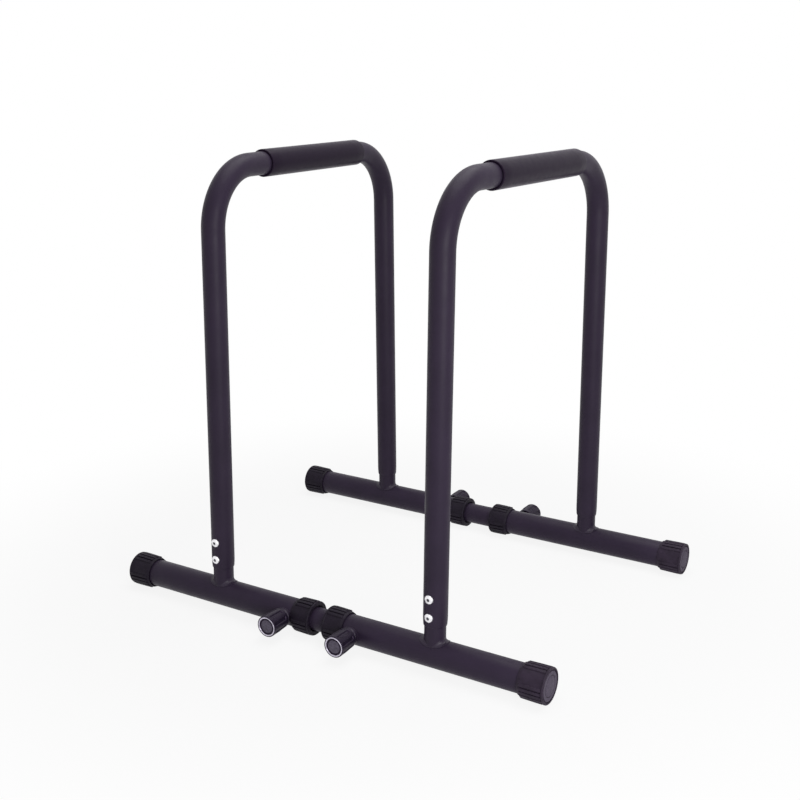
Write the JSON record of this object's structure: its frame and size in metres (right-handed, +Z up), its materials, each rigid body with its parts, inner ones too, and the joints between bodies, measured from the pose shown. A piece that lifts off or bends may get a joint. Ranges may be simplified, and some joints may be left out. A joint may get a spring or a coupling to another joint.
{
  "type": "dip station",
  "caption": "Free-standing dip station: inverted-U hand bars with foam grips on base tubes, joined by link tubes that slide and lock with pull pins.",
  "frame": {"origin": "on the floor, under the middle of the station: midway between the left and right end caps and between the front and rear base tubes", "axes": "+X runs to the right hand bar along the base tubes, +Y runs to the rear along the hand bars, +Z points up"},
  "size_m": [0.8286, 0.677, 0.7568],
  "materials": {
    "powder_coat": "satin dark charcoal powder coat with a purple tint",
    "grip_foam": "matte closed-cell foam",
    "cap_rubber": "matte black moulded rubber",
    "knob_plastic": "satin black moulded plastic",
    "bright_steel": "bright zinc-plated",
    "dark_steel": "dark oxide"
  },
  "bodies": {
    "left_frame": {"left_u_bar": "powder_coat", "left_grip": "grip_foam", "front_left_base": "powder_coat", "front_left_end_cap": "cap_rubber", "front_left_collar": "cap_rubber", "front_left_lower_screw": "bright_steel", "front_left_lower_nut": "dark_steel", "front_left_upper_screw": "bright_steel", "front_left_upper_nut": "dark_steel", "front_left_pin_housing": "dark_steel", "front_left_pin_spring": "bright_steel", "rear_left_base": "powder_coat", "rear_left_end_cap": "cap_rubber", "rear_left_collar": "cap_rubber", "rear_left_lower_screw": "bright_steel", "rear_left_lower_nut": "dark_steel", "rear_left_upper_screw": "bright_steel", "rear_left_upper_nut": "dark_steel", "rear_left_pin_housing": "dark_steel", "rear_left_pin_spring": "bright_steel"},
    "right_frame": {"right_u_bar": "powder_coat", "right_grip": "grip_foam", "front_right_base": "powder_coat", "front_right_end_cap": "cap_rubber", "front_right_collar": "cap_rubber", "front_right_lower_screw": "bright_steel", "front_right_lower_nut": "dark_steel", "front_right_upper_screw": "bright_steel", "front_right_upper_nut": "dark_steel", "front_right_pin_housing": "dark_steel", "front_right_pin_spring": "bright_steel", "rear_right_base": "powder_coat", "rear_right_end_cap": "cap_rubber", "rear_right_collar": "cap_rubber", "rear_right_lower_screw": "bright_steel", "rear_right_lower_nut": "dark_steel", "rear_right_upper_screw": "bright_steel", "rear_right_upper_nut": "dark_steel", "rear_right_pin_housing": "dark_steel", "rear_right_pin_spring": "bright_steel"},
    "front_link_tube": {"front_link": "powder_coat"},
    "rear_link_tube": {"rear_link": "powder_coat"},
    "front_left_plunger": {"front_left_pin": "bright_steel", "front_left_knob": "knob_plastic", "front_left_knob_ring": "bright_steel"},
    "front_right_plunger": {"front_right_pin": "bright_steel", "front_right_knob": "knob_plastic", "front_right_knob_ring": "bright_steel"},
    "rear_left_plunger": {"rear_left_pin": "bright_steel", "rear_left_knob": "knob_plastic", "rear_left_knob_ring": "bright_steel"},
    "rear_right_plunger": {"rear_right_pin": "bright_steel", "rear_right_knob": "knob_plastic", "rear_right_knob_ring": "bright_steel"}
  },
  "joints": [
    {"name": "front_link_slide", "type": "slide", "parent": "left_frame", "child": "front_link_tube", "axis": [1, 0, 0], "range_m": [0, 0.09]},
    {"name": "rear_link_slide", "type": "slide", "parent": "left_frame", "child": "rear_link_tube", "axis": [1, 0, 0], "range_m": [0, 0.09]},
    {"name": "right_frame_slide", "type": "slide", "parent": "front_link_tube", "child": "right_frame", "axis": [1, 0, 0], "range_m": [0, 0.06]},
    {"name": "front_left_pull", "type": "slide", "parent": "left_frame", "child": "front_left_plunger", "axis": [0, -1, 0], "range_m": [0, 0.008], "stiffness_N_per_m": 1000, "springref_m": -0.006, "deforming": ["front_left_pin_spring"]},
    {"name": "front_right_pull", "type": "slide", "parent": "right_frame", "child": "front_right_plunger", "axis": [0, -1, 0], "range_m": [0, 0.008], "stiffness_N_per_m": 1000, "springref_m": -0.006, "deforming": ["front_right_pin_spring"]},
    {"name": "rear_left_pull", "type": "slide", "parent": "left_frame", "child": "rear_left_plunger", "axis": [0, 1, 0], "range_m": [0, 0.008], "stiffness_N_per_m": 1000, "springref_m": -0.006, "deforming": ["rear_left_pin_spring"]},
    {"name": "rear_right_pull", "type": "slide", "parent": "right_frame", "child": "rear_right_plunger", "axis": [0, 1, 0], "range_m": [0, 0.008], "stiffness_N_per_m": 1000, "springref_m": -0.006, "deforming": ["rear_right_pin_spring"]}
  ],
  "couplings": [
    {"joint": "rear_link_slide", "follows": "front_link_slide", "ratio": 1}
  ]
}
